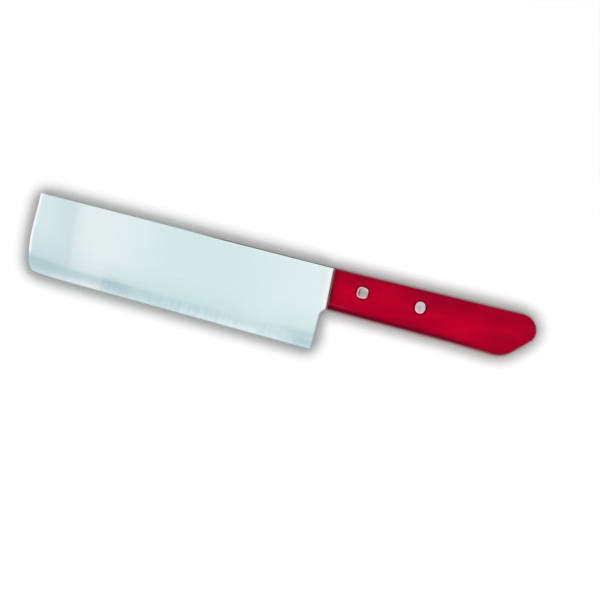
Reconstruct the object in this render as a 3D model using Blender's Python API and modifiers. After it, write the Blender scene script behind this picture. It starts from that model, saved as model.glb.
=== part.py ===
# Rectangular vegetable knife (nakiri): a ground blade with a half tang, held
# between two handle scales by two flush two-part rivets.
#
# The knife lies on its right side with the blade level. +X runs from the tip
# to the butt, +Y from the edge to the spine and +Z out of the left side.
# Outlines are drawn in a datum frame: its origin is the tip corner of the
# spine, in the blade's middle plane. An empty then carries that frame to
# where the origin lies under the middle of the knife. Units are metres.

import math

import bmesh
import bpy
from mathutils import Vector

# Blade outline
EDGE_LENGTH = 0.165
TIP_WIDTH = 0.0436
HEEL_WIDTH = 0.0470
TIP_BREAK = 0.029
TIP_BOW_RADIUS = 0.075
TIP_DRAWBACK = 0.0038
TIP_LIFT = 0.0009
TIP_CORNER_RADIUS = 0.005
BELLY_LENGTH = 0.015
BELLY_RADIUS = 0.12
NECK_RADIUS = 0.0045

# Blade section
BLADE_THICKNESS = 0.0016
GRIND_HEIGHT = 0.009
SHOULDER_THICKNESS = 0.00036
EDGE_BEVEL_HEIGHT = 0.0008
EDGE_FLAT = 0.00006
TIP_CHAMFER = 0.0006
SPINE_ROUND = 0.0003
HEEL_ROUND = 0.00015

# Tang, which runs on behind the handle's front
TANG_LENGTH = 0.066
TANG_CORNER_RADIUS = 0.002

# Handle outline, measured back from its front and down from the spine line
HANDLE_SETBACK = 0.002
HANDLE_DROP = 0.0003
FRONT_HEIGHT = 0.0227
FRONT_LEAN = 0.0012
BACK_LENGTH = 0.1143
BACK_RISE = 0.00105
BACK_CORNER_RADIUS = 0.0105
BUTT_LENGTH = 0.1165
BUTT_DROP = 0.0102
BUTT_CORNER_RADIUS = 0.008
UNDER_LENGTH = 0.1014
UNDER_DROP = 0.02485
UNDER_CORNER_RADIUS = 0.014
WAIST_LENGTH = 0.069
WAIST_DROP = 0.0238
WAIST_RADIUS = 0.3

# Handle section
HANDLE_THICKNESS = 0.014
ARRIS_ROUND = 0.0024
FRONT_CHAMFER = 0.0009

# Rivets
RIVET_SETBACK = 0.0179
RIVET_SPACING = 0.0327
RIVET_DROP = 0.0096
HEAD_DIAMETER = 0.00635
HEAD_THICKNESS = 0.0016
HEAD_CHAMFER = 0.00015
TUBE_DIAMETER = 0.0046
PIN_DIAMETER = 0.0028
PIN_CHAMFER = 0.0004
BORE_FLOOR = 0.0024

# Clearances
GLUE_GAP = 0.0003
RIVET_GAP = 0.0002
PIN_END_GAP = 0.0006

# Roundness: how far a facet may stray from its arc, and the widest angle it spans
ARC_TOLERANCE = 0.00001
ARC_STEP = math.radians(7)
TURNED_STEPS = 48
ARRIS_SEGMENTS = 6
EASING_SEGMENTS = 3
SHARP_ANGLE = math.radians(35)
FLAT_ANGLE = math.radians(0.05)
LEVEL_NORMAL = 0.5
CUTTER_MARGIN = 0.004
WELD = 0.000001

# Finishes: colour, roughness and metallic value
STEEL = ((0.66, 0.70, 0.71), 0.22, 1)
RIVET_METAL = ((0.62, 0.58, 0.59), 0.3, 1)
RED_LACQUER = ((0.40, 0.002, 0.02), 0.38, 0)


def clear_scene():
    for obj in list(bpy.data.objects):
        bpy.data.objects.remove(obj, do_unlink=True)


def new_collection(name):
    collection = bpy.data.collections.new(name)
    bpy.context.scene.collection.children.link(collection)
    return collection


def edge_drop(x):
    """Depth of the cutting edge's straight line below the spine, at x."""
    return TIP_WIDTH + (HEEL_WIDTH - TIP_WIDTH) * x / EDGE_LENGTH


def handle_front():
    return EDGE_LENGTH + HANDLE_SETBACK


def tang_end():
    return handle_front() + TANG_LENGTH


def belly_drop(x):
    """Depth of the handle's lower line below the spine, between its front and waist."""
    front_drop = HANDLE_DROP + FRONT_HEIGHT
    share = (x - handle_front() - FRONT_LEAN) / (WAIST_LENGTH - FRONT_LEAN)
    return front_drop + (WAIST_DROP - front_drop) * share


def blade_corners():
    """Corners (x, y, radius) of the blade and tang, from the tip down and round."""
    return [
        (0, 0, 0),
        (0, -TIP_BREAK, TIP_BOW_RADIUS),
        (TIP_DRAWBACK, TIP_LIFT - edge_drop(TIP_DRAWBACK), TIP_CORNER_RADIUS),
        (BELLY_LENGTH, -edge_drop(BELLY_LENGTH), BELLY_RADIUS),
        (EDGE_LENGTH, -HEEL_WIDTH, 0),
        (EDGE_LENGTH, -belly_drop(EDGE_LENGTH), NECK_RADIUS),
        (tang_end(), -belly_drop(tang_end()), TANG_CORNER_RADIUS),
        (tang_end(), 0, TANG_CORNER_RADIUS),
    ]


def handle_corners():
    """Corners (x, y, radius) of both scales, from the front's top down and round."""
    front = handle_front()
    return [
        (front, -HANDLE_DROP, 0),
        (front + FRONT_LEAN, -HANDLE_DROP - FRONT_HEIGHT, 0),
        (front + WAIST_LENGTH, -WAIST_DROP, WAIST_RADIUS),
        (front + UNDER_LENGTH, -UNDER_DROP, UNDER_CORNER_RADIUS),
        (front + BUTT_LENGTH, -BUTT_DROP, BUTT_CORNER_RADIUS),
        (front + BACK_LENGTH, BACK_RISE, BACK_CORNER_RADIUS),
    ]


def tangent_lengths(corners, turns):
    """Distance from each corner to its arc's ends, kept within the sides it shares."""
    lengths = [corner[2] * math.tan(abs(turn) / 2) for corner, turn in zip(corners, turns)]
    count = len(corners)
    for index in range(count):
        after = (index + 1) % count
        side = math.dist(corners[index][:2], corners[after][:2])
        used = lengths[index] + lengths[after]
        if used > side:
            lengths[index] *= side / used
            lengths[after] *= side / used
    return lengths


def rounded_outline(corners):
    """Points of a polygon whose corners (x, y, radius) are rounded into arcs."""
    count = len(corners)
    places = [Vector(corner[:2]) for corner in corners]
    arrive = [(places[i] - places[i - 1]).normalized() for i in range(count)]
    leave = [arrive[(i + 1) % count] for i in range(count)]
    turns = [-arrive[i].angle_signed(leave[i]) for i in range(count)]
    tangents = tangent_lengths(corners, turns)
    points = []
    for i in range(count):
        if tangents[i] < WELD:
            points.append(places[i])
            continue
        start = places[i] - arrive[i] * tangents[i]
        radius = tangents[i] / math.tan(abs(turns[i]) / 2)
        side = math.copysign(1, turns[i])
        normal = Vector((-arrive[i].y, arrive[i].x)) * side
        centre = start + normal * radius
        widest = min(ARC_STEP, 2 * math.acos(1 - min(1, ARC_TOLERANCE / radius)))
        steps = math.ceil(abs(turns[i]) / widest)
        for step in range(steps + 1):
            angle = abs(turns[i]) * step / steps
            points.append(centre - normal * radius * math.cos(angle) + arrive[i] * radius * math.sin(angle))
    return points


def add_object(name, mesh, collection, datum):
    obj = bpy.data.objects.new(name, mesh)
    obj.parent = datum
    collection.objects.link(obj)
    return obj


def smooth(mesh):
    mesh.shade_smooth()
    mesh.set_sharp_from_angle(angle=SHARP_ANGLE)


def meshed(source):
    """Mesh of an object as it is evaluated, with its loose seams welded."""
    bpy.context.view_layer.update()
    evaluated = source.evaluated_get(bpy.context.evaluated_depsgraph_get())
    mesh = bpy.data.meshes.new_from_object(evaluated)
    shape = bmesh.new()
    shape.from_mesh(mesh)
    bmesh.ops.remove_doubles(shape, verts=shape.verts, dist=WELD)
    bmesh.ops.dissolve_limit(shape, angle_limit=FLAT_ANGLE, verts=shape.verts, edges=shape.edges)
    shape.to_mesh(mesh)
    shape.free()
    bpy.data.objects.remove(source, do_unlink=True)
    smooth(mesh)
    return mesh


def is_level(face):
    """Whether a slab's face is one of its flats, and not part of its rim."""
    return abs(face.normal.z) > LEVEL_NORMAL


def join_flats(mesh):
    """Make each flat side one face, because a curve's fill can fold over beside an arc."""
    shape = bmesh.new()
    shape.from_mesh(mesh)
    flats = [face for face in shape.faces if is_level(face)]
    bmesh.ops.dissolve_faces(shape, faces=flats)
    bmesh.ops.recalc_face_normals(shape, faces=shape.faces)
    shape.to_mesh(mesh)
    shape.free()


def slab(name, corners, low_z, high_z, collection, datum):
    """A flat outline, given thickness from low_z to high_z."""
    curve = bpy.data.curves.new(name, "CURVE")
    curve.dimensions = "2D"
    curve.fill_mode = "BOTH"
    curve.extrude = (high_z - low_z) / 2
    points = rounded_outline(corners)
    spline = curve.splines.new("POLY")
    spline.points.add(len(points) - 1)
    for target, point in zip(spline.points, points):
        target.co = (point.x, point.y, 0, 1)
    spline.use_cyclic_u = True
    outline = bpy.data.objects.new(name + "_outline", curve)
    collection.objects.link(outline)
    obj = add_object(name, meshed(outline), collection, datum)
    join_flats(obj.data)
    obj.location.z = (low_z + high_z) / 2
    return obj


def turned(name, profile, collection, datum):
    """A solid of revolution about Z, from a profile that runs down its outer side."""
    mesh = bpy.data.meshes.new(name + "_profile")
    lines = [(i, i + 1) for i in range(len(profile) - 1)]
    mesh.from_pydata([(radius, 0, z) for radius, z in profile], lines, [])
    source = bpy.data.objects.new(name + "_profile", mesh)
    collection.objects.link(source)
    screw = source.modifiers.new("turn", "SCREW")
    screw.steps = TURNED_STEPS
    screw.render_steps = TURNED_STEPS
    screw.use_merge_vertices = True
    screw.merge_threshold = WELD
    return add_object(name, meshed(source), collection, datum)


def box(name, size, collection, datum):
    """A box of the given size, centred on its own origin."""
    mesh = bpy.data.meshes.new(name)
    shape = bmesh.new()
    bmesh.ops.create_cube(shape, size=1)
    bmesh.ops.scale(shape, vec=size, verts=shape.verts)
    shape.to_mesh(mesh)
    shape.free()
    return add_object(name, mesh, collection, datum)


def cut(obj, cutter):
    """Take the cutter out of obj, with flat shading that keeps the cut's rims sharp."""
    cutter.hide_render = True
    cutter.display_type = "WIRE"
    cutter.data.shade_flat()
    modifier = obj.modifiers.new(cutter.name, "BOOLEAN")
    modifier.operation = "DIFFERENCE"
    modifier.solver = "EXACT"
    modifier.object = cutter


def outline_edges(obj):
    """Edges between the slab's flat faces and its rim, with their midpoints."""
    shape = bmesh.new()
    shape.from_mesh(obj.data)
    shape.normal_update()
    found = []
    for edge in shape.edges:
        if [is_level(face) for face in edge.link_faces].count(True) == 1:
            middle = (edge.verts[0].co + edge.verts[1].co) / 2
            found.append((edge.index, middle))
    shape.free()
    return found


def round_edges(obj, label, width, segments, weigh):
    """Round the outline edges by width, times the weight that weigh gives each midpoint."""
    weights = obj.data.attributes.new(label, "FLOAT", "EDGE")
    for index, middle in outline_edges(obj):
        weights.data[index].value = weigh(middle)
    modifier = obj.modifiers.new(label, "BEVEL")
    modifier.limit_method = "WEIGHT"
    modifier.edge_weight = label
    modifier.width = width
    modifier.segments = segments
    modifier.profile = 0.5
    modifier.use_clamp_overlap = False


def settle(obj):
    """Make the rounding part of the mesh, so that its mitres can be shaded sharp."""
    bpy.context.view_layer.update()
    evaluated = obj.evaluated_get(bpy.context.evaluated_depsgraph_get())
    rounded = bpy.data.meshes.new_from_object(evaluated)
    obj.modifiers.clear()
    obj.data = rounded
    smooth(rounded)


def shade_flats_even(obj):
    """Keep the flats' shading level beside the rounded edges."""
    modifier = obj.modifiers.new("even_shading", "WEIGHTED_NORMAL")
    modifier.keep_sharp = True


def paint(obj, finish):
    colour, roughness, metallic = finish
    material = bpy.data.materials.new(obj.name + "_finish")
    material.use_nodes = True
    shader = material.node_tree.nodes["Principled BSDF"]
    shader.inputs["Base Color"].default_value = (*colour, 1)
    shader.inputs["Roughness"].default_value = roughness
    shader.inputs["Metallic"].default_value = metallic
    material.diffuse_color = (*colour, 1)
    obj.data.materials.clear()
    obj.data.materials.append(material)


def grind_cutter(name, side, low, high, cutters, datum):
    """A block whose inner face passes through two (height, half thickness) points.

    Heights are measured up from the edge's straight line, on one side of the blade.
    """
    tilt = math.atan2(high[1] - low[1], high[0] - low[0])
    edge_angle = math.atan2(TIP_WIDTH - HEEL_WIDTH, EDGE_LENGTH)
    slope_height = math.dist(low, high)
    margin = CUTTER_MARGIN
    size = (EDGE_LENGTH + 4 * margin, slope_height + 2 * margin, 2 * margin)
    cutter = box(name, size, cutters, datum)
    middle_height = (low[0] + high[0]) / 2
    middle_depth = (low[1] + high[1]) / 2
    outward = Vector((-math.sin(tilt), math.cos(tilt))) * margin
    x = EDGE_LENGTH / 2
    cutter.location = (x, middle_height + outward.x - edge_drop(x), side * (middle_depth + outward.y))
    cutter.rotation_euler = (side * tilt, 0, edge_angle)
    return cutter


def grind_blade(blade, cutters, datum):
    edge = (0, EDGE_FLAT / 2)
    shoulder = (EDGE_BEVEL_HEIGHT, SHOULDER_THICKNESS / 2)
    top = (GRIND_HEIGHT, BLADE_THICKNESS / 2)
    for side, label in ((1, "left"), (-1, "right")):
        cut(blade, grind_cutter(label + "_grind", side, shoulder, top, cutters, datum))
        cut(blade, grind_cutter(label + "_edge_bevel", side, edge, shoulder, cutters, datum))


def rivet_places():
    front = (handle_front() + RIVET_SETBACK, -RIVET_DROP)
    return {"front": front, "rear": (front[0] + RIVET_SPACING, front[1])}


def rivet_hole(name, place, cutters, datum):
    """The stepped hole through both scales and the tang, as a turned cutter."""
    top = HANDLE_THICKNESS / 2
    floor = top - HEAD_THICKNESS - RIVET_GAP
    seat_radius = HEAD_DIAMETER / 2 + RIVET_GAP
    bore_radius = TUBE_DIAMETER / 2 + RIVET_GAP
    above = top + CUTTER_MARGIN
    profile = [
        (0, above), (seat_radius, above), (seat_radius, floor), (bore_radius, floor),
        (bore_radius, -floor), (seat_radius, -floor), (seat_radius, -above), (0, -above),
    ]
    cutter = turned(name, profile, cutters, datum)
    cutter.location = (*place, 0)
    return cutter


def divide_flats(blade, x):
    """Part the blade's flats at x, so that the covered tang has faces of its own."""
    shape = bmesh.new()
    shape.from_mesh(blade.data)
    geometry = shape.verts[:] + shape.edges[:] + shape.faces[:]
    bmesh.ops.bisect_plane(shape, geom=geometry, dist=WELD, plane_co=(x, 0, 0), plane_no=(1, 0, 0))
    shape.to_mesh(blade.data)
    shape.free()


def make_blade(parts, cutters, datum):
    half = BLADE_THICKNESS / 2
    blade = slab("blade", blade_corners(), -half, half, parts, datum)
    divide_flats(blade, EDGE_LENGTH + HANDLE_SETBACK / 2)

    def on_spine(middle):
        return float(middle.y > -WELD)

    def on_tip(middle):
        return float(middle.x < BELLY_LENGTH / 2 and middle.y < -WELD)

    def on_heel(middle):
        return float(EDGE_LENGTH - WELD < middle.x < tang_end() - TANG_CORNER_RADIUS)

    round_edges(blade, "spine_round", SPINE_ROUND, EASING_SEGMENTS, on_spine)
    round_edges(blade, "tip_chamfer", TIP_CHAMFER, 1, on_tip)
    round_edges(blade, "heel_round", HEEL_ROUND, EASING_SEGMENTS, on_heel)
    settle(blade)
    grind_blade(blade, cutters, datum)
    paint(blade, STEEL)
    return blade


def make_scale(name, side, parts, cutters, datum):
    inner = GLUE_GAP / 2
    outer = HANDLE_THICKNESS / 2
    low_z, high_z = sorted((side * inner, side * outer))
    scale = slab(name, handle_corners(), low_z, high_z, parts, datum)

    def weigh(middle):
        if middle.z * side < 0:
            return 0
        on_front = middle.x < handle_front() + FRONT_LEAN
        return FRONT_CHAMFER / ARRIS_ROUND if on_front else 1

    round_edges(scale, "arris", ARRIS_ROUND, ARRIS_SEGMENTS, weigh)
    settle(scale)
    paint(scale, RED_LACQUER)
    return scale


def tang_pocket(cutters, datum):
    """The space that the scales leave for the tang, open in front, above and below."""
    start = handle_front() - CUTTER_MARGIN
    end = tang_end() + GLUE_GAP
    height = belly_drop(end) + 4 * CUTTER_MARGIN
    size = (end - start, height, BLADE_THICKNESS + 2 * GLUE_GAP)
    pocket = box("tang_pocket", size, cutters, datum)
    pocket.location = ((start + end) / 2, -belly_drop(end) / 2, 0)
    return pocket


def make_male_half(name, place, parts, datum):
    """A flush head on a pin that ends short of the tube's closed end."""
    head = HEAD_DIAMETER / 2
    pin = PIN_DIAMETER / 2
    tip = HANDLE_THICKNESS - BORE_FLOOR - PIN_END_GAP
    profile = [
        (0, 0), (head - HEAD_CHAMFER, 0), (head, -HEAD_CHAMFER), (head, -HEAD_THICKNESS),
        (pin, -HEAD_THICKNESS), (pin, PIN_CHAMFER - tip), (pin - PIN_CHAMFER, -tip), (0, -tip),
    ]
    half = turned(name, profile, parts, datum)
    half.location = (*place, HANDLE_THICKNESS / 2)
    paint(half, RIVET_METAL)
    return half


def make_female_half(name, place, parts, datum):
    """A flush head on a tube that ends short of the other half's head."""
    head = HEAD_DIAMETER / 2
    tube = TUBE_DIAMETER / 2
    bore = PIN_DIAMETER / 2 + RIVET_GAP
    mouth = HANDLE_THICKNESS - HEAD_THICKNESS - PIN_END_GAP
    profile = [
        (0, 0), (head - HEAD_CHAMFER, 0), (head, -HEAD_CHAMFER), (head, -HEAD_THICKNESS),
        (tube, -HEAD_THICKNESS), (tube, -mouth), (bore, -mouth), (bore, -BORE_FLOOR), (0, -BORE_FLOOR),
    ]
    half = turned(name, profile, parts, datum)
    half.location = (*place, -HANDLE_THICKNESS / 2)
    half.rotation_euler = (math.pi, 0, 0)
    paint(half, RIVET_METAL)
    return half


def make_datum(parts):
    """The empty that carries the outlines' frame to the middle of the knife."""
    points = rounded_outline(blade_corners()) + rounded_outline(handle_corners())
    middle_x = (min(p.x for p in points) + max(p.x for p in points)) / 2
    middle_y = (min(p.y for p in points) + max(p.y for p in points)) / 2
    datum = bpy.data.objects.new("datum", None)
    datum.location = (-middle_x, -middle_y, HANDLE_THICKNESS / 2)
    parts.objects.link(datum)
    return datum


def build_knife():
    clear_scene()
    parts = new_collection("nakiri_knife")
    cutters = new_collection("cutters")
    datum = make_datum(parts)
    blade = make_blade(parts, cutters, datum)
    left_scale = make_scale("left_scale", 1, parts, cutters, datum)
    right_scale = make_scale("right_scale", -1, parts, cutters, datum)
    pocket = tang_pocket(cutters, datum)
    cut(left_scale, pocket)
    cut(right_scale, pocket)
    drilled = (blade, left_scale, right_scale)
    for label, place in rivet_places().items():
        hole = rivet_hole(label + "_rivet_hole", place, cutters, datum)
        for piece in drilled:
            cut(piece, hole)
        make_male_half(label + "_rivet_male", place, parts, datum)
        make_female_half(label + "_rivet_female", place, parts, datum)
    for piece in drilled:
        shade_flats_even(piece)


build_knife()
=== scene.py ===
import math

import bmesh
import bpy
from mathutils import Matrix, Vector


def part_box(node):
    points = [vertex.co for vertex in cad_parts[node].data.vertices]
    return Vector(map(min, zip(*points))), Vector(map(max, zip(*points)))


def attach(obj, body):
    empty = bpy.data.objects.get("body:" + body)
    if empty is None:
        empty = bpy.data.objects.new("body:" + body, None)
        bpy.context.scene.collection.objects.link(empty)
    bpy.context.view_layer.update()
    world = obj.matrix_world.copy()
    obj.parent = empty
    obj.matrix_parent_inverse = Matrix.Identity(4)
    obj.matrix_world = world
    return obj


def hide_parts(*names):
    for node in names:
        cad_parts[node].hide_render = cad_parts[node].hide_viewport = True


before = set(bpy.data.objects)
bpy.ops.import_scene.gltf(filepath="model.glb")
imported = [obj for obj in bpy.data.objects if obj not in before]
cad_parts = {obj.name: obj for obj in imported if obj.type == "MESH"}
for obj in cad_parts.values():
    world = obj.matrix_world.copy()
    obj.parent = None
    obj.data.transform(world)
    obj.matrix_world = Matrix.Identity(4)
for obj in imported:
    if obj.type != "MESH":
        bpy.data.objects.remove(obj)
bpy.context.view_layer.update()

# the knife's sizes are in millimetres, the studio's in metres and angles in degrees
# a shade of three numbers is as it shows on screen, 0 to 255, and one of four is plain light
# a soft step says where it starts and ends, and its levels there unless they are 0 and 1
# a noise says how it is drawn out, its detail, and where needed its roughness and its turn
millimetre = 0.001
weldDistance = 0.002 * millimetre
usualNoise = (0.3, 0.7)  # most of a noise lies between these levels
white = (1, 1, 1, 1)

scene = bpy.context.scene
scene.view_settings.view_transform = "Standard"
print("frame loaded:", len(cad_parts), "CAD nodes")


# small helpers for wiring a finish together

def addNode(tree, kind, **settings):
    made = tree.nodes.new("ShaderNode" + kind)
    for key, value in settings.items():
        setattr(made, key, value)
    return made


def feed(tree, socket, value):
    # a socket is linked, and a plain number or colour is written into the input
    if isinstance(value, bpy.types.NodeSocket):
        tree.links.new(value, socket)
    elif value is not None:
        socket.default_value = value


def calc(tree, operation, first, second=None, third=None, clamp=False):
    made = addNode(tree, "Math", operation=operation, use_clamp=clamp)
    for socket, value in zip(made.inputs, (first, second, third)):
        feed(tree, socket, value)
    return made.outputs[0]


def subtract(tree, first, second):
    return calc(tree, "SUBTRACT", first, second)


def multiply(tree, first, *others):
    for other in others:
        first = calc(tree, "MULTIPLY", first, other)
    return first


def greatest(tree, first, *others):
    for other in others:
        first = calc(tree, "MAXIMUM", first, other)
    return first


def beyond(tree, value, start):
    # how far a value is past its start, and nought before it
    return greatest(tree, subtract(tree, value, start), 0)


def length(tree, across, up):
    squared = calc(tree, "MULTIPLY_ADD", up, up, multiply(tree, across, across))
    return calc(tree, "SQRT", squared)


def fade(tree, value, start, end, low=0.0, high=1.0):
    # soft step from low at start to high at end
    made = addNode(tree, "MapRange", interpolation_type="SMOOTHSTEP")
    for key, number in zip(("From Min", "From Max", "To Min", "To Max"), (start, end, low, high)):
        made.inputs[key].default_value = number
    feed(tree, made.inputs["Value"], value)
    return made.outputs["Result"]


def overlap(tree, *steps):
    # a patch where several soft steps meet, each given as a value and its step
    return multiply(tree, *[fade(tree, value, *step) for value, step in steps])


def vary(tree, noise, low, high):
    return fade(tree, noise, *usualNoise, low, high)


def stir(tree, noise, share, value):
    # adds a noise to a value, upwards and downwards
    return calc(tree, "MULTIPLY_ADD", subtract(tree, noise, 0.5), share, value)


def tint(tree, factor, first, second, mode="MIX"):
    made = addNode(tree, "Mix", data_type="RGBA", blend_type=mode)
    feed(tree, made.inputs[0], factor)
    feed(tree, made.inputs[6], first)
    feed(tree, made.inputs[7], second)
    return made.outputs[2]


def scaleColour(tree, colour, share):
    return tint(tree, 1.0, colour, share, "MULTIPLY")


def linear(red, green, blue):
    def one(level):
        share = level / 255
        return share / 12.92 if share <= 0.04045 else ((share + 0.055) / 1.055) ** 2.4
    return (one(red), one(green), one(blue), 1)


def paint(tree, factor, colour, shade):
    # lays a shade over a colour
    return tint(tree, factor, colour, linear(*shade))


def rampAlong(tree, value, stops, curve="LINEAR"):
    made = addNode(tree, "ValToRGB")
    steps = made.color_ramp
    steps.interpolation = curve
    while len(steps.elements) < len(stops):
        steps.elements.new(1)
    for element, (place, colour) in zip(steps.elements, stops):
        element.position = place
        element.color = colour
    feed(tree, made.inputs[0], value)
    return made.outputs[0]


def colourAlong(tree, value, stops, curve="LINEAR"):
    return rampAlong(tree, value, [(place, linear(*shade)) for place, shade in stops], curve)


def levelAlong(tree, value, stops):
    return rampAlong(tree, value, [(place, (level, level, level, 1)) for place, level in stops])


def grain(tree, place, stretch, detail=3.0, roughness=0.5, turn=0.0):
    # noise drawn out along x, y and z by the stretch, in features per millimetre
    mapping = addNode(tree, "Mapping")
    mapping.inputs["Scale"].default_value = [share / millimetre for share in stretch]
    mapping.inputs["Rotation"].default_value = (0, 0, math.radians(turn))
    feed(tree, mapping.inputs["Vector"], place)
    made = addNode(tree, "TexNoise")
    made.inputs["Scale"].default_value = 1
    made.inputs["Detail"].default_value = detail
    made.inputs["Roughness"].default_value = roughness
    feed(tree, made.inputs["Vector"], mapping.outputs["Vector"])
    return made.outputs[0]


def startFinish(name):
    finish = bpy.data.materials.new(name)
    finish.use_nodes = True
    tree = finish.node_tree
    tree.nodes.clear()
    output = addNode(tree, "OutputMaterial")
    shader = addNode(tree, "BsdfPrincipled")
    tree.links.new(shader.outputs[0], output.inputs["Surface"])
    coordinates = addNode(tree, "TexCoord")
    return finish, tree, shader, coordinates


def placeInMillimetres(tree, coordinates):
    # x from tip to butt and y from edge to spine, as two sockets
    scaled = addNode(tree, "VectorMath", operation="SCALE")
    tree.links.new(coordinates.outputs["Object"], scaled.inputs[0])
    scaled.inputs["Scale"].default_value = 1 / millimetre
    parts = addNode(tree, "SeparateXYZ")
    tree.links.new(scaled.outputs[0], parts.inputs[0])
    return parts.outputs["X"], parts.outputs["Y"]


def facing(tree, coordinates):
    parts = addNode(tree, "SeparateXYZ")
    tree.links.new(coordinates.outputs["Normal"], parts.inputs[0])
    return parts.outputs


def distanceFrom(tree, x, y, centre):
    across = subtract(tree, x, centre.x / millimetre)
    up = subtract(tree, y, centre.y / millimetre)
    return length(tree, across, up)


def addRelief(tree, shader, height, depth, strength):
    made = addNode(tree, "Bump")
    made.inputs["Strength"].default_value = strength
    made.inputs["Distance"].default_value = depth * millimetre
    feed(tree, made.inputs["Height"], height)
    tree.links.new(made.outputs[0], shader.inputs["Normal"])


def shadeByAngle(piece, sharpAngle=35):
    piece.data.shade_smooth()
    piece.data.set_sharp_from_angle(angle=math.radians(sharpAngle))
    evened = piece.modifiers.new("evenShading", "WEIGHTED_NORMAL")
    evened.keep_sharp = True


def finishPiece(name, shape, material, nodes):
    mesh = bpy.data.meshes.new(name)
    shape.to_mesh(mesh)
    shape.free()
    piece = bpy.data.objects.new(name, mesh)
    scene.collection.objects.link(piece)
    mesh.materials.append(material)
    shadeByAngle(piece)
    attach(piece, "root")
    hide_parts(*nodes)
    print("made", name, len(mesh.polygons), "faces")


# camera, looking down on the knife as it lies

view = {
    "lens": 250,
    "frameWidth": 330.4,
    "aim": (11.16, 1.21, 7.0),
    "roll": 14.32,
    "lean": 0.5,
    "clip": (0.05, 20),
}


def setCamera():
    lens = bpy.data.cameras.new("camera")
    lens.lens = view["lens"]
    lens.clip_start, lens.clip_end = view["clip"]
    camera = bpy.data.objects.new("camera", lens)
    scene.collection.objects.link(camera)
    turn = Matrix.Rotation(math.radians(view["lean"]), 4, "X")
    turn = turn @ Matrix.Rotation(math.radians(view["roll"]), 4, "Z")
    distance = view["lens"] / lens.sensor_width * view["frameWidth"]
    back = turn @ Vector((0, 0, distance))
    camera.matrix_world = Matrix.Translation((Vector(view["aim"]) + back) * millimetre) @ turn
    scene.camera = camera
    print("camera set")


setCamera()


# floor, world and lamp

studio = {
    "floorSize": 6.0,
    "floorColour": (0.945, 0.945, 0.945, 1),
    "floorGlow": 0.03,
    # contact shade on the paper: its reach, its darkest level and where it starts
    "besideBlade": (0.0125, 0.555, 0.84),
    "besideHandle": (0.009, 0.65, 0.66),
    # between these places along the knife, in millimetres, it changes from the one to the other;
    # the slant leans that change, and below the last height the blade's shade goes on further
    "handleBegins": (18, 36),
    "handleSlant": 0.12,
    "heelShadeBelow": -7.0,
    "shadeSamples": 16,
    # where the red handle rests on the paper, its colour shows in the shade right beside it
    "closeReach": 0.0022,
    "closeColours": [
        (0.0, white), (0.70, (0.94, 0.50, 0.53, 1)), (1.0, (0.62, 0.05, 0.10, 1)),
    ],
    "skyLight": 1.0,
    "skyEdge": (0.60, 0.88),
    "lampSize": 1.6,
    "lampPlace": (0.0, -0.10, 1.3),
    "lampPower": 15.2,
}


def seenDirectly(tree):
    # one for rays from the camera, mirrors and glass, nought for light that falls on things
    path = addNode(tree, "LightPath")
    rays = ("Is Camera Ray", "Is Glossy Ray", "Is Transmission Ray")
    return greatest(tree, *[path.outputs[ray] for ray in rays])


def contactShade(tree, x, y):
    # the paper darkens a little more where something lies close to it
    along = calc(tree, "MULTIPLY_ADD", y, studio["handleSlant"], x)
    belowHeel = calc(tree, "MINIMUM", subtract(tree, y, studio["heelShadeBelow"]), 0)
    along = calc(tree, "ADD", along, belowHeel)
    reach, darkest, start = [
        fade(tree, along, *studio["handleBegins"], atBlade, atHandle)
        for atBlade, atHandle in zip(studio["besideBlade"], studio["besideHandle"])
    ]
    near = addNode(tree, "AmbientOcclusion", samples=studio["shadeSamples"])
    tree.links.new(reach, near.inputs["Distance"])
    shade = addNode(tree, "MapRange")
    tree.links.new(near.outputs["AO"], shade.inputs["Value"])
    tree.links.new(start, shade.inputs["From Min"])
    tree.links.new(darkest, shade.inputs["To Min"])
    return shade.outputs["Result"]


def redReflection(tree):
    # half of the paper's view is hidden right beside a wall, so twice that share is full strength
    close = addNode(tree, "AmbientOcclusion", samples=studio["shadeSamples"])
    close.inputs["Distance"].default_value = studio["closeReach"]
    hidden = subtract(tree, 1, close.outputs["AO"])
    return rampAlong(tree, multiply(tree, hidden, 2), studio["closeColours"])


def palePaper():
    paper, tree, shader, coordinates = startFinish("palePaper")
    x, y = placeInMillimetres(tree, coordinates)
    colour = scaleColour(tree, studio["floorColour"], contactShade(tree, x, y))
    colour = scaleColour(tree, colour, redReflection(tree))
    tree.links.new(colour, shader.inputs["Base Color"])
    shader.inputs["Roughness"].default_value = 1
    shader.inputs["Specular IOR Level"].default_value = 0
    shader.inputs["Emission Color"].default_value = white
    glow = multiply(tree, seenDirectly(tree), studio["floorGlow"])
    tree.links.new(glow, shader.inputs["Emission Strength"])
    return paper


def layFloor():
    shape = bmesh.new()
    bmesh.ops.create_grid(shape, x_segments=1, y_segments=1, size=studio["floorSize"] / 2)
    mesh = bpy.data.meshes.new("floor")
    shape.to_mesh(mesh)
    shape.free()
    floor = bpy.data.objects.new("floor", mesh)
    scene.collection.objects.link(floor)
    mesh.materials.append(palePaper())


def lightSky():
    # what lights things is a dome that fades towards the horizon, and metal mirrors plain white
    world = bpy.data.worlds.new("studio")
    world.use_nodes = True
    tree = world.node_tree
    tree.nodes.clear()
    output = addNode(tree, "OutputWorld")
    sky = addNode(tree, "Background")
    sky.inputs["Color"].default_value = white
    direction = addNode(tree, "SeparateXYZ")
    tree.links.new(addNode(tree, "TexCoord").outputs["Generated"], direction.inputs[0])
    dome = fade(tree, direction.outputs["Z"], *studio["skyEdge"], 0.0, studio["skyLight"])
    tree.links.new(greatest(tree, dome, seenDirectly(tree)), sky.inputs["Strength"])
    tree.links.new(sky.outputs[0], output.inputs["Surface"])
    scene.world = world


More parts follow.
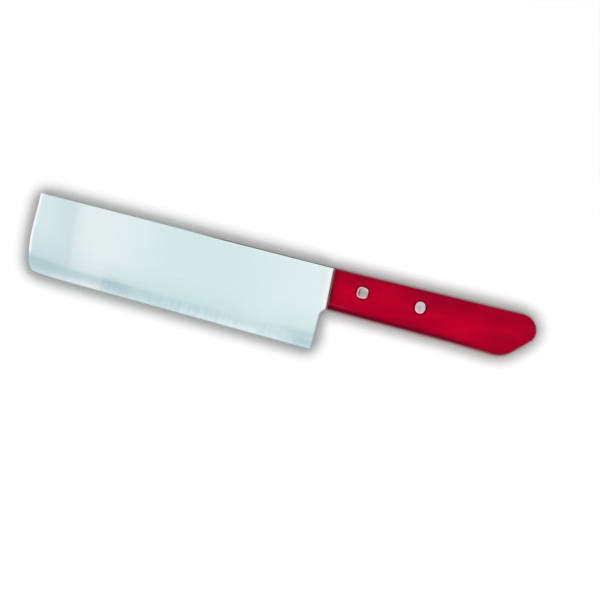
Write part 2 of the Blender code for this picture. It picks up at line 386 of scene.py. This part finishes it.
def hangSoftbox():
    lamp = bpy.data.lights.new("softbox", "AREA")
    lamp.shape = "SQUARE"
    lamp.size = studio["lampSize"]
    lamp.energy = studio["lampPower"]
    softbox = bpy.data.objects.new("softbox", lamp)
    scene.collection.objects.link(softbox)
    place = Vector(studio["lampPlace"])
    turn = place.to_track_quat("Z", "Y").to_matrix().to_4x4()
    softbox.matrix_world = Matrix.Translation(place) @ turn
    softbox.visible_camera = False
    softbox.visible_glossy = False


layFloor()
lightSky()
hangSoftbox()
print("floor, world and softbox set")


# blade: satin stainless steel with a ground band along the edge

blade = {
    # the CAD outline that the finish follows
    "tipX": -141.45,
    "heelX": 23.55,
    "neckY": -4.5,
    "neckRadius": 4.5,
    "bowStart": 4.17,
    "bowRadius": 75.0,
    "bellyX": -121.7,
    "bellyRadius": 120.0,
    "cornerX": -133.7,
    "cornerY": -15.0,
    "cornerRadius": 5.1,
    "edgeAtTip": -20.58,
    "edgeSlope": -0.0206,
    "spineY": 23.02,
    "handleX": 25.55,
    "handleLean": 0.0529,
    # painted reflections across the flat: shades by share of the way from tip to heel
    "flatLean": 0.107,
    "flatReflectionShades": [
        (0.00, (216, 233, 235)), (0.05, (213, 231, 233)), (0.09, (210, 227, 230)),
        (0.118, (209, 226, 229)), (0.138, (221, 234, 234)), (0.165, (227, 238, 238)),
        (0.22, (230, 240, 240)), (0.29, (227, 239, 239)), (0.36, (222, 237, 237)),
        (0.44, (215, 234, 234)), (0.58, (213, 233, 233)), (0.72, (216, 234, 233)),
        (0.82, (221, 238, 237)), (1.00, (226, 241, 240)),
    ],
    # how dark the ground band's painted reflection is, by share of its height and of the way to the
    # heel
    "bandReflectionShade": (175, 202, 208),
    "bandHeight": 22,
    "bandTallerAtTip": (4, 24, 0.25, 0.0),
    "bandTallerAtHeel": (-12, 12, 0.0, 0.22),
    "bandDepths": [
        (0.00, 0.45), (0.05, 0.48), (0.10, 0.69), (0.15, 0.79), (0.20, 0.86), (0.27, 0.92),
        (0.31, 0.84), (0.35, 0.57), (0.40, 0.40), (0.50, 0.24), (0.62, 0.17), (0.78, 0.08),
        (0.95, 0.0),
    ],
    "bandStrengths": [
        (0.00, 1.0), (0.06, 0.98), (0.12, 0.80), (0.18, 0.76), (0.21, 0.66), (0.263, 0.68),
        (0.274, 1.0), (0.36, 0.92), (0.44, 0.74), (0.56, 0.60), (0.66, 0.46), (0.77, 0.38),
        (0.88, 0.48), (0.94, 0.68), (1.00, 0.74),
    ],
    "cloud": ((0.05, 0.12, 0.1), 2.0),
    "bandCloud": (0.85, 1.15),
    # the stretches that are lighter along the lowest part of the band
    "paleStretchShade": (240, 246, 247),
    "paleStretchAlong": [
        (0.08, 0.0), (0.13, 0.34), (0.22, 0.42), (0.263, 0.42), (0.272, 0.0), (0.50, 0.0),
        (0.60, 0.34), (0.78, 0.40), (0.84, 0.1), (0.95, 0.0),
    ],
    "paleStretchUpTo": (4.6, 1.4),
    "paleStretchCloud": (0.8, 1.2),
    # the darker corner at the heel
    "heelPatchShade": (172, 200, 208),
    "heelPatchAlong": (9, 17, 0.0, 0.5),
    "heelPatchUpTo": (6.4, 4.0),
    # uneven strokes left across the band by the stone
    "stone": ((0.45, 0.06, 0.1), 3.0, 0.6, -4),
    "stoneUpTo": (8.0, 5.5),
    "stoneAlong": (0.17, 0.23, 0.3, 1.0),
    "stoneDepth": 0.045,
    # fine lengthwise satin lines on the flat, and short sharpening strokes across the band
    "satinLines": ((0.02, 9.0, 3.0), 4.0, 0.6),
    "strokes": ((7.0, 0.25, 1.0), 3.0, 0.6, -4),
    "strokesUpTo": (8.2, 9.4, 1.0, 0.0),
    "satinDepth": 0.004,
    "roughness": (0.27, 0.35),
    "relief": (0.02, 0.1),
    # painted highlights along the tip, beside the handle and faintly below the spine
    "tipShine": (250, 253, 254),
    "tipShineWithin": (1.8, 0.6),
    "tipShineAbove": (9.0, 12.5),
    "handleShine": (253, 250, 252),
    "handleShineReach": 6,
    "handleShineLevels": [
        (0.25, 0.95), (0.37, 0.62), (0.46, 0.42), (0.55, 0.26), (0.65, 0.14), (0.83, 0.03),
        (1.00, 0.0),
    ],
    "spineShine": (236, 246, 248),
    "spineShineAbove": (21.2, 22.0),
    "spineShineAlong": (-60, -10, 0.0, 0.4),
    # painted shade: a shadow line where the handle meets the blade, and dark lines along the rear
    # half of the spine and round the edge
    "seamShadow": (112, 34, 48),
    "seamShadowWithin": (1.10, 0.60, 0.0, 0.9),
    "spineShadeLine": (30, 34, 40),
    "spineShadeLineAbove": (22.48, 22.74),
    "spineShadeLineAlong": (-66, -34),
    "edgeShadeLine": (110, 116, 122),
    "edgeShadeLineWithin": (0.75, 0.15, 0.0, 0.55),
    "heelShadeLineWithin": (0.85, 0.2, 0.0, 0.55),
    # the round corner's line comes in over these distances below and before its middle
    "cornerBelow": (0, 2),
    "cornerBefore": (-0.5, 1.5),
    # the spine's own face is painted darker, as shade
    "spineShade": (168, 179, 184),
    "spineFacing": (0.75, 0.95, 0.0, 0.8),
}


def shareToHeel(tree, x):
    # nought at the tip and one at the heel
    return calc(tree, "DIVIDE", subtract(tree, x, blade["tipX"]), blade["heelX"] - blade["tipX"])


def distanceFromTip(tree, x, y):
    # the tip is straight from the spine down to where its bow starts
    below = beyond(tree, blade["bowStart"], y)
    drawn = multiply(tree, below, below, 0.5 / blade["bowRadius"])
    return subtract(tree, subtract(tree, x, blade["tipX"]), drawn)


def heightAboveEdge(tree, x, y):
    start = blade["edgeAtTip"] - blade["edgeSlope"] * blade["tipX"]
    return subtract(tree, y, calc(tree, "MULTIPLY_ADD", x, blade["edgeSlope"], start))


def aboveBelly(tree, x, height):
    # near the tip the edge curves up
    before = beyond(tree, blade["bellyX"], x)
    lift = multiply(tree, before, before, 0.5 / blade["bellyRadius"])
    return subtract(tree, height, lift)


def insideCorner(tree, x, y):
    # the rounded corner between the edge and the tip
    before = beyond(tree, blade["cornerX"], x)
    below = beyond(tree, blade["cornerY"], y)
    return subtract(tree, blade["cornerRadius"], length(tree, before, below))


def distanceFromHeel(tree, x, y):
    # the heel is straight up to the neck, which curves round towards the handle
    across = subtract(tree, blade["heelX"] + blade["neckRadius"], x)
    above = beyond(tree, y, blade["neckY"])
    return subtract(tree, length(tree, across, above), blade["neckRadius"])


def distanceToHandle(tree, x, y):
    start = blade["handleX"] + blade["handleLean"] * blade["spineY"]
    lean = calc(tree, "MULTIPLY_ADD", y, -blade["handleLean"], start)
    return subtract(tree, lean, x)


def paintFlatReflections(tree, x, y):
    # painted reflections: soft bands of lighter and darker shade, parallel to the tip
    fromSpine = subtract(tree, y, blade["spineY"])
    slanted = calc(tree, "MULTIPLY_ADD", fromSpine, blade["flatLean"], x)
    return colourAlong(tree, shareToHeel(tree, slanted), blade["flatReflectionShades"])


def shadeBand(tree, colour, x, fromTip, height, place):
    # the band's painted reflection is darkest where it meets the flat and lighter towards the edge
    cloud = grain(tree, place, *blade["cloud"])
    along = shareToHeel(tree, x)
    tallerAtTip = fade(tree, fromTip, *blade["bandTallerAtTip"])
    tallerAtHeel = fade(tree, x, *blade["bandTallerAtHeel"])
    taller = calc(tree, "ADD", calc(tree, "ADD", tallerAtTip, tallerAtHeel), 1.0)
    reach = calc(tree, "DIVIDE", height, taller)
    depth = levelAlong(tree, calc(tree, "DIVIDE", reach, blade["bandHeight"]), blade["bandDepths"])
    strength = levelAlong(tree, along, blade["bandStrengths"])
    strength = multiply(tree, strength, vary(tree, cloud, *blade["bandCloud"]))
    dark = calc(tree, "MULTIPLY", strength, depth, clamp=True)
    colour = paint(tree, dark, colour, blade["bandReflectionShade"])
    paleStretch = multiply(
        tree, levelAlong(tree, along, blade["paleStretchAlong"]),
        fade(tree, height, *blade["paleStretchUpTo"]), vary(tree, cloud, *blade["paleStretchCloud"]),
    )
    colour = paint(tree, paleStretch, colour, blade["paleStretchShade"])
    patch = overlap(tree, (x, blade["heelPatchAlong"]), (height, blade["heelPatchUpTo"]))
    colour = paint(tree, patch, colour, blade["heelPatchShade"])
    stone = grain(tree, place, *blade["stone"])
    uneven = overlap(tree, (height, blade["stoneUpTo"]), (along, blade["stoneAlong"]))
    uneven = multiply(tree, uneven, vary(tree, stone, -blade["stoneDepth"], blade["stoneDepth"]))
    return scaleColour(tree, colour, calc(tree, "ADD", uneven, 1))


def satinTexture(tree, height, place):
    lines = grain(tree, place, *blade["satinLines"])
    strokes = grain(tree, place, *blade["strokes"])
    return tint(tree, fade(tree, height, *blade["strokesUpTo"]), lines, strokes)


def paintHighlightsAndSeamShadow(tree, colour, x, y, fromTip, height, toHandle):
    # painted highlights along the tip and beside the handle, the handle's painted shadow on the
    # blade, and a painted highlight below the spine
    shine = overlap(tree, (fromTip, blade["tipShineWithin"]), (height, blade["tipShineAbove"]))
    colour = paint(tree, shine, colour, blade["tipShine"])
    reach = calc(tree, "DIVIDE", toHandle, blade["handleShineReach"])
    shine = levelAlong(tree, reach, blade["handleShineLevels"])
    colour = paint(tree, shine, colour, blade["handleShine"])
    seam = fade(tree, toHandle, *blade["seamShadowWithin"])
    colour = paint(tree, seam, colour, blade["seamShadow"])
    shine = overlap(tree, (y, blade["spineShineAbove"]), (x, blade["spineShineAlong"]))
    return paint(tree, shine, colour, blade["spineShine"])


def paintShadeLines(tree, colour, x, y, height, facingSpine):
    # painted shade: dark lines along the rear half of the spine and round the edge, corner and heel
    spine = overlap(tree, (y, blade["spineShadeLineAbove"]), (x, blade["spineShadeLineAlong"]))
    colour = paint(tree, spine, colour, blade["spineShadeLine"])
    # painted shade on the spine's face
    top = fade(tree, facingSpine, *blade["spineFacing"])
    colour = paint(tree, top, colour, blade["spineShade"])
    edge = fade(tree, aboveBelly(tree, x, height), *blade["edgeShadeLineWithin"])
    corner = overlap(
        tree, (insideCorner(tree, x, y), blade["edgeShadeLineWithin"]),
        (y, [blade["cornerY"] - step for step in blade["cornerBelow"]]),
        (x, [blade["cornerX"] - step for step in blade["cornerBefore"]]),
    )
    heel =fade(tree, distanceFromHeel(tree, x, y), *blade["heelShadeLineWithin"])
    return paint(tree, greatest(tree, edge, corner, heel), colour, blade["edgeShadeLine"])


def satinSteel():
    finish, tree, shader, coordinates = startFinish("satinSteel")
    x, y = placeInMillimetres(tree, coordinates)
    place = coordinates.outputs["Object"]
    facingSpine = facing(tree, coordinates)["Y"]
    fromTip = distanceFromTip(tree, x, y)
    height = heightAboveEdge(tree, x, y)
    toHandle = distanceToHandle(tree, x, y)
    colour = paintFlatReflections(tree, x, y)
    colour = shadeBand(tree, colour, x, fromTip, height, place)
    texture = satinTexture(tree, height, place)
    satin = vary(tree, texture, 1 - blade["satinDepth"], 1 + blade["satinDepth"])
    colour = scaleColour(tree, colour, satin)
    colour = paintHighlightsAndSeamShadow(tree, colour, x, y, fromTip, height, toHandle)
    colour = paintShadeLines(tree, colour, x, y, height, facingSpine)
    tree.links.new(colour, shader.inputs["Base Color"])
    shader.inputs["Metallic"].default_value = 1
    tree.links.new(vary(tree, texture, *blade["roughness"]), shader.inputs["Roughness"])
    addRelief(tree, shader, texture, *blade["relief"])
    return finish


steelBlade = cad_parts["blade"]
steelBlade.data.materials.clear()
steelBlade.data.materials.append(satinSteel())
print("blade finished")


# handle: two scales of hardwood, dyed red and lacquered

handle = {
    # the width that seams close to, and how far from the knife's middle layer the faces at the
    # seam and at the bottom of the tang's pocket are looked for
    "seam": 0.04,
    "seamZone": 0.3,
    "pocketZone": 1.2,
    "levelAngle": 0.1,
    # rivets, and how square, wide and high each one's rim is worn
    "rivetRadius": 3.16,
    "holeZone": (3.2, 3.6),  # where the points round a hole are looked for
    "rims": {"front": (2.9, 0.985, 0.97), "rear": (2.3, 0.90, 1.025)},
    # the tang, and the pocket round it
    "tangTop": 7.8,
    "tangBottom": 6.2,
    "tangEnd": 91.55,
    "tangCorner": 2.0,
    "tangTopY": 23.02,
    "tangUnderY": -0.72,
    "pocketEnd": 91.85,
    "pocketCuts": 95,
    "pocketCorner": 2.1,
    "pocketCornerEnd": 0.2,  # points this near a corner's end stay on the pocket's slope
    # the CAD outline that the finish follows
    "topSlope": 0.0092,
    "topY": 23.2,
    "underY": 0.2,
    "underSlope": -0.0155,
    "frontX": 26.0,
    # the dyed red, lighter along the middle of the scale, with lighter and darker patches
    "dyeShades": [
        (0.10, (150, 1, 36)), (0.30, (165, 1, 38)), (0.50, (182, 1, 40)), (0.70, (193, 1, 41)),
        (0.90, (199, 3, 44)),
    ],
    "toneHeight": 25,
    "toneAcross": [
        (0.00, 0.16), (0.18, 0.30), (0.31, 0.46), (0.44, 0.53), (0.56, 0.46), (0.76, 0.34),
        (1.00, 0.28),
    ],
    "brightFrontAlong": (54, 42, 0.0, 0.13),
    "brightFrontBelow": (12, 16),
    "darkButtAlong": (106, 132, 0.0, 0.32),
    "darkButtBelow": (9, 15),
    "darkEndAlong": (132, 139, 0.0, 0.16),
    "darkTopFrom": (58, 68, 0.0, 0.10),
    "darkTopMoreFrom": (76, 84, 0.0, 0.13),
    "darkTopUntil": (110, 97),
    "darkTopAbove": (13, 6),
    "cloud": ((0.035, 0.11, 0.1), 2.0),
    "cloudShare": 0.9,
    "streaks": ((0.03, 1.1, 1.1), 4.0, 0.55),
    "streakShare": 0.24,
    "pores": ((0.35, 7.0, 7.0), 2.0, 0.5),
    "poreLevels": (0.34, 0.46, 0.94, 1.0),
    # painted shade along the rounded edges and the front, most of all along the underside
    "edgeShadeColour": (92, 3, 24),
    "lowEdgeShadeReach": 5,
    "lowEdgeShade": [
        (0.00, 1.0), (0.22, 0.90), (0.34, 0.70), (0.46, 0.40), (0.58, 0.24), (0.76, 0.12),
        (1.00, 0.0),
    ],
    "lowEdgeShadeAlong": (94, 118, 1.0, 0.25),
    "roundedFacing": (0.99, 0.3, 0.0, 0.85),
    "frontWithin": (4.4, 0.3, 0.0, 0.55),
    "frontFacing": (-0.15, -0.5, 0.0, 0.8),
    "lowFrontWithin": (9.5, 2.0, 0.0, 0.34),
    "lowFrontBelow": (7, 15),
    "lowFrontAbove": (21, 17, 0.3, 1.0),
    # painted shade, darkest in the lower front corner
    "cornerShadow": (58, 1, 14),
    "cornerWithin": (5.5, 2.5, 0.0, 0.5),
    "cornerBelow": (3.0, 1.8),
    # a faint painted highlight along the lower arris near the front
    "highlightShade": (215, 90, 110),
    "highlightAbove": (2.2, 2.8),
    "highlightBelow": (3.6, 3.0),
    "highlightAlong": (46, 32, 0.0, 0.07),
    # a dark ring round each rivet
    "ringShade": (88, 2, 20),
    "ringWithin": (4.6, 3.4, 0.0, 0.85),
    "gloss": 0.25,
    "glossTint": (0.9, 0.02, 0.07, 1),
    "roughness": (0.30, 0.44),
    "streakRelief": 0.6,
    "poreRelief": 0.4,
    "relief": (0.03, 0.3),
}


def dyeWood(tree, x, down, cloud, streaks):
    across = levelAlong(tree, calc(tree, "DIVIDE", down, handle["toneHeight"]), handle["toneAcross"])
    darkButt = overlap(tree, (x, handle["darkButtAlong"]), (down, handle["darkButtBelow"]))
    bright = overlap(tree, (x, handle["brightFrontAlong"]), (down, handle["brightFrontBelow"]))
    across = calc(tree, "ADD", subtract(tree, across, darkButt), bright)
    darkTop = calc(
        tree, "ADD",
        fade(tree, x, *handle["darkTopFrom"]), fade(tree, x, *handle["darkTopMoreFrom"]),
    )
    darkTop = multiply(
        tree, darkTop,
        fade(tree, x, *handle["darkTopUntil"]), fade(tree, down, *handle["darkTopAbove"]),
    )
    darkEnd = fade(tree, x, *handle["darkEndAlong"])
    across = subtract(tree, across, calc(tree, "ADD", darkTop, darkEnd))
    mixed = stir(tree, cloud, handle["cloudShare"], across)
    mixed = stir(tree, streaks, handle["streakShare"], mixed)
    return colourAlong(tree, mixed, handle["dyeShades"])


def darkenEdges(tree, colour, x, y, down, normal):
    fromFront = subtract(tree, x, handle["frontX"])
    under = calc(tree, "MULTIPLY_ADD", fromFront, handle["underSlope"], handle["underY"])
    fromUnder = subtract(tree, y, under)
    # painted shade along the underside, the rounded edges and the front
    lowEdgeShade = levelAlong(
        tree, calc(tree, "DIVIDE", fromUnder, handle["lowEdgeShadeReach"]), handle["lowEdgeShade"],
    )
    lowEdgeShade = multiply(tree, lowEdgeShade, fade(tree, x, *handle["lowEdgeShadeAlong"]))
    rounded = fade(tree, calc(tree, "ABSOLUTE", normal["Z"]), *handle["roundedFacing"])
    lowFront = overlap(
        tree, (fromFront, handle["lowFrontWithin"]),
        (down, handle["lowFrontBelow"]), (down, handle["lowFrontAbove"]),
    )
    front = calc(tree, "ADD", fade(tree, fromFront, *handle["frontWithin"]), lowFront)
    frontFace = fade(tree, normal["X"], *handle["frontFacing"])
    edgeShade = greatest(tree, lowEdgeShade, rounded, front, frontFace)
    colour = paint(tree, edgeShade, colour, handle["edgeShadeColour"])
    # painted shade in the lower front corner
    corner = overlap(tree, (fromFront, handle["cornerWithin"]), (fromUnder, handle["cornerBelow"]))
    colour = paint(tree, corner, colour, handle["cornerShadow"])
    # a painted highlight along the lower arris near the front
    highlight = overlap(
        tree, (fromUnder, handle["highlightAbove"]), (fromUnder, handle["highlightBelow"]),
        (x, handle["highlightAlong"]),
    )
    return paint(tree, highlight, colour, handle["highlightShade"])


def redLacquer(centres):
    finish, tree, shader, coordinates = startFinish("redLacquer")
    x, y = placeInMillimetres(tree, coordinates)
    place = coordinates.outputs["Object"]
    normal = facing(tree, coordinates)
    cloud = grain(tree, place, *handle["cloud"])
    streaks = grain(tree, place, *handle["streaks"])
    pores = grain(tree, place, *handle["pores"])
    down = subtract(tree, handle["topY"], y)
    colour = dyeWood(tree, x, down, cloud, streaks)
    colour = scaleColour(tree, colour, fade(tree, pores, *handle["poreLevels"]))
    colour = darkenEdges(tree, colour, x, y, down, normal)
    for centre in centres.values():
        ring = fade(tree, distanceFrom(tree, x, y, centre), *handle["ringWithin"])
        colour = paint(tree, ring, colour, handle["ringShade"])
    tree.links.new(colour, shader.inputs["Base Color"])
    shader.inputs["Specular IOR Level"].default_value = handle["gloss"]
    shader.inputs["Specular Tint"].default_value = handle["glossTint"]
    tree.links.new(vary(tree, streaks, *handle["roughness"]), shader.inputs["Roughness"])
    poreRelief = multiply(tree, pores, handle["poreRelief"])
    relief = calc(tree, "MULTIPLY_ADD", streaks, handle["streakRelief"], poreRelief)
    addRelief(tree, shader, relief, *handle["relief"])
    return finish


def mergedCopy(nodeName):
    shape = bmesh.new()
    shape.from_mesh(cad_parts[nodeName].data)
    bmesh.ops.remove_doubles(shape, verts=shape.verts, dist=weldDistance)
    return shape


def joinFlats(shape):
    # triangles that lie in one plane become one face, so that flats shade evenly
    level = [
        edge for edge in shape.edges
        if edge.is_manifold and edge.calc_face_angle() < math.radians(handle["levelAngle"])
    ]
    bmesh.ops.dissolve_edges(shape, edges=level, use_verts=False)


def closeSeams(shape, side):
    # the CAD model leaves glue gaps, which close to hairlines here
    middle = (handle["tangTop"] + handle["tangBottom"]) / 2
    seat = middle + side * handle["seam"] / 2
    pocket = middle + side * ((handle["tangTop"] - handle["tangBottom"]) / 2 + handle["seam"])
    for vertex in shape.verts:
        height = side * (vertex.co.z / millimetre - middle)
        if height < handle["seamZone"]:
            vertex.co.z = seat * millimetre
        elif height < handle["pocketZone"]:
            vertex.co.z = pocket * millimetre


def squaring(angle, place):
    # how far a rim stands out at this angle; a power of 2 is round and more is squarer
    power, wide, high = handle["rims"][place]
    across, up = abs(math.cos(angle)) / wide, abs(math.sin(angle)) / high
    return (across ** power + up ** power) ** (-1 / power)


def roundPocketEnd(shape):
    # the end of the tang's pocket follows the tang's rounded corners
    end = handle["pocketEnd"] * millimetre
    wall = [
        edge for edge in shape.edges
        if all(abs(vertex.co.x - end) < weldDistance for vertex in edge.verts)
        and abs(edge.verts[0].co.y - edge.verts[1].co.y) > millimetre
    ]
    cuts = handle["pocketCuts"]
    made = bmesh.ops.subdivide_edges(shape, edges=wall, cuts=cuts, use_grid_fill=False)
    corners = {vertex for edge in wall for vertex in edge.verts}
    corners.update(part for part in made["geom_inner"] if isinstance(part, bmesh.types.BMVert))
    radius = handle["pocketCorner"]
    centre = handle["tangEnd"] - handle["tangCorner"]
    for vertex in corners:
        above = vertex.co.y / millimetre - (handle["tangTopY"] - handle["tangCorner"])
        below = (handle["tangUnderY"] + handle["tangCorner"]) - vertex.co.y / millimetre
        past = max(0, above, below)
        reach = math.sqrt(max(0, radius ** 2 - past ** 2))
        moved = vertex.co.x - (centre + reach) * millimetre
        vertex.co.x -= moved
        if past > radius - handle["pocketCornerEnd"]:
            slope = handle["topSlope"] if above > 0 else handle["underSlope"]
            vertex.co.y -= moved * slope


def fitHoles(shape, centres):
    # each hole closes in on its rivet's rim
    nearest, farthest = handle["holeZone"]
    for place, centre in centres.items():
        for vertex in shape.verts:
            offset = Vector((vertex.co.x - centre.x, vertex.co.y - centre.y))
            if nearest < offset.length / millimetre < farthest:
                angle = math.atan2(offset.y, offset.x)
                rim = handle["rivetRadius"] * squaring(angle, place)
                reach = (rim + handle["seam"] / 2) * millimetre
                vertex.co.x = centre.x + reach * math.cos(angle)
                vertex.co.y = centre.y + reach * math.sin(angle)


def makeScale(nodeName, side, material, centres):
    shape = mergedCopy(nodeName)
    closeSeams(shape, side)
    fitHoles(shape, centres)
    joinFlats(shape)
    roundPocketEnd(shape)
    bmesh.ops.recalc_face_normals(shape, faces=shape.faces)
    finishPiece(nodeName + "_lacquered", shape, material, [nodeName])


def rivetCentre(nodeName):
    low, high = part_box(nodeName)
    return (low + high) / 2


rivetCentres = {place: rivetCentre(place + "_rivet_male") for place in ("front", "rear")}
lacquer = redLacquer(rivetCentres)
makeScale("left_scale", 1, lacquer, rivetCentres)
makeScale("right_scale", -1, lacquer, rivetCentres)
print("handle scales made")


# rivets: a headed pin pressed into a headed tube, ground flush with the wood

rivet = {
    # the rounded rim and the slightly dished face, by share of the rim and of the dish
    "headHeight": 1.6,
    "rim": 0.22,
    "rimCurve": [(1, 0), (0.5, 0.1), (0.15, 0.35), (0, 1)],
    "dish": 0.05,
    "faceCurve": [(0, 1), (0.25, 0.95), (0.5, 0.75), (0.72, 0.4)],
    "faceEnd": (1.4, 0.1),
    "pinRadius": 1.4,
    "pinEnd": 3.0,
    "pinChamfer": 0.4,
    "tubeRadius": 2.3,
    "boreRadius": 1.6,
    "boreFloor": 2.4,
    "tubeEnd": 11.8,
    "thickness": 14.0,  # of the whole handle
    "steps": 96,
    # the crease across the front head
    "creaseX": -1.75,
    "creaseWidth": 0.35,
    "creaseDepth": 0.12,
    "creaseHalfLength": 2.35,
    "creaseZone": 0.2,  # only points this near the top are pressed down
    "cutTolerance": 0.0001,
    "sameSpot": 0.01,  # points this near a line or a level count as on it
    "middle": 0.5,  # points this near the middle keep their place when the rim is shaped
    # the metal's shades, from dull to clean
    "shades": {
        "front": ((166, 150, 150), (186, 169, 170), (203, 185, 192)),
        "rear": ((184, 168, 172), (206, 189, 195), (216, 198, 206)),
    },
    "shadeStops": (0.30, 0.50, 0.70),
    "dullness": ((0.6, 0.5, 0.5), 3.0),
    "scratches": ((1.0, 9.0, 4.0), 3.0, 0.6, 20),
    "scratchLevels": (0.95, 1.04),
    # a painted highlight along the rim, pink like a reflection of the wood, most of all low down,
    # and on the creased head at both ends
    "highlightShade": (255, 208, 216),
    "highlightFrom": (2.35, 2.85),
    "highlightLow": (2.0, -2.5, 0.6, 1.0),
    "highlightEnds": (1.0, 2.2, 0.25, 0.9),
    "highlightPatchy": (0.35, 0.6, 0.75, 1.0),
    # painted shade in the crease
    "creaseShade": (104, 84, 84),
    "creaseShadeWithin": (0.55, 0.2, 0.0, 0.85),
    "creaseShadeLength": (2.6, 1.7),
    "roughness": (0.28, 0.42),
    "relief": (0.02, 0.3),
}


def rivetMetal(place, centre, creased, side=""):
    finish, tree, shader, coordinates = startFinish(place + side + "RivetMetal")
    x, y = placeInMillimetres(tree, coordinates)
    here = coordinates.outputs["Object"]
    dull = grain(tree, here, *rivet["dullness"])
    scratches = grain(tree, here, *rivet["scratches"])
    shades = list(zip(rivet["shadeStops"], rivet["shades"][place]))
    colour = colourAlong(tree, dull, shades, "CARDINAL")
    colour = scaleColour(tree, colour, vary(tree, scratches, *rivet["scratchLevels"]))
    up = subtract(tree, y, centre.y / millimetre)
    if creased:
        up = calc(tree, "ABSOLUTE", up)
    # a painted highlight along the rim
    highlight = fade(tree, up, *rivet["highlightEnds" if creased else "highlightLow"])
    shine = fade(tree, distanceFrom(tree, x, y, centre), *rivet["highlightFrom"])
    shine = multiply(tree, shine, highlight, fade(tree, dull, *rivet["highlightPatchy"]))
    colour = paint(tree, shine, colour, rivet["highlightShade"])
    if creased:
        # painted shade in the crease
        fromCrease = subtract(tree, x, centre.x / millimetre + rivet["creaseX"])
        fromCrease = calc(tree, "ABSOLUTE", fromCrease)
        creaseShadeMask = overlap(tree, (fromCrease, rivet["creaseShadeWithin"]), (up, rivet["creaseShadeLength"]))
        colour = paint(tree, creaseShadeMask, colour, rivet["creaseShade"])
    tree.links.new(colour, shader.inputs["Base Color"])
    shader.inputs["Metallic"].default_value = 1
    tree.links.new(vary(tree, scratches, *rivet["roughness"]), shader.inputs["Roughness"])
    addRelief(tree, shader, scratches, *rivet["relief"])
    return finish


def spinProfile(points):
    # turns a half outline of (radius, height) points about the upright axis
    shape = bmesh.new()
    corners = [
        shape.verts.new((radius * millimetre, 0, height * millimetre)) for radius, height in points
    ]
    edges = [shape.edges.new(pair) for pair in zip(corners, corners[1:])]
    bmesh.ops.spin(
        shape, geom=corners + edges, cent=(0, 0, 0), axis=(0, 0, 1),
        angle=math.tau, steps=rivet["steps"], use_merge=True,
    )
    bmesh.ops.remove_doubles(shape, verts=shape.verts, dist=weldDistance)
    bmesh.ops.recalc_face_normals(shape, faces=shape.faces)
    return shape


def headProfile():
    # from the middle of the face out over the rounded rim and down to the underside
    radius, rim, dish = handle["rivetRadius"], rivet["rim"], rivet["dish"]
    inset, depth = rivet["faceEnd"]
    face = [(radius * out, dish * low) for out, low in rivet["faceCurve"]]
    face.append((radius - rim * inset, dish * depth))
    side = [(radius - rim * inwards, rim * low) for inwards, low in rivet["rimCurve"]]
    return face + side + [(radius, rivet["headHeight"])]


def pressCrease(shape, top, side):
    for offset in (-1, 0, 1):
        bmesh.ops.bisect_plane(
            shape, geom=shape.verts[:] + shape.edges[:] + shape.faces[:],
            dist=rivet["cutTolerance"] * millimetre, plane_no=(1, 0, 0),
            plane_co=((rivet["creaseX"] + offset * rivet["creaseWidth"]) * millimetre, 0, 0),
        )
    for vertex in shape.verts:
        x, y, z = vertex.co / millimetre
        onLine = abs(x - rivet["creaseX"]) < rivet["sameSpot"]
        nearTop = side * (top - z) < rivet["creaseZone"]
        if onLine and nearTop and abs(y) < rivet["creaseHalfLength"]:
            vertex.co.z -= side * rivet["creaseDepth"] * millimetre


def shapeHead(shape, place, creased, side):
    # gives the rim its worn outline, and the front head its crease
    top = rivet["thickness"] if side > 0 else 0
    if creased:
        pressCrease(shape, top, side)
    rimWidth = handle["rivetRadius"] - rivet["tubeRadius"]
    for vertex in shape.verts:
        reach = vertex.co.xy.length / millimetre
        depth = side * (top - vertex.co.z / millimetre)
        if reach > rivet["middle"] and depth < rivet["headHeight"] + rivet["sameSpot"]:
            share = min(1, max(0, (reach - rivet["tubeRadius"]) / rimWidth))
            angle = math.atan2(vertex.co.y, vertex.co.x)
            grow = 1 + share * (squaring(angle, place) - 1)
            vertex.co.x *= grow
            vertex.co.y *= grow


def makePin(place, centre, material):
    # its head lies flush in the left scale
    top, pin, chamfer = rivet["thickness"], rivet["pinRadius"], rivet["pinChamfer"]
    under, end = top - rivet["headHeight"], rivet["pinEnd"]
    head = [(radius, top - depth) for radius, depth in headProfile()]
    shape = spinProfile(head + [(pin, under), (pin, end + chamfer), (pin - chamfer, end), (0, end)])
    shapeHead(shape, place, place == "front", 1)
    bmesh.ops.translate(shape, verts=shape.verts, vec=(centre.x, centre.y, 0))
    finishPiece(place + "_rivet_pin", shape, material, [place + "_rivet_male"])


def makeTube(place, centre, material):
    # its head lies flush in the right scale
    tube, bore, end = rivet["tubeRadius"], rivet["boreRadius"], rivet["tubeEnd"]
    shape = spinProfile(headProfile() + [
        (tube, rivet["headHeight"]), (tube, end),
        (bore, end), (bore, rivet["boreFloor"]), (0, rivet["boreFloor"]),
    ])
    shapeHead(shape, place, False, -1)
    bmesh.ops.translate(shape, verts=shape.verts, vec=(centre.x, centre.y, 0))
    finishPiece(place + "_rivet_tube", shape, material, [place + "_rivet_female"])


for place, centre in rivetCentres.items():
    makePin(place, centre, rivetMetal(place, centre, place == "front"))
    makeTube(place, centre, rivetMetal(place, centre, False, "Far"))
print("rivets made")
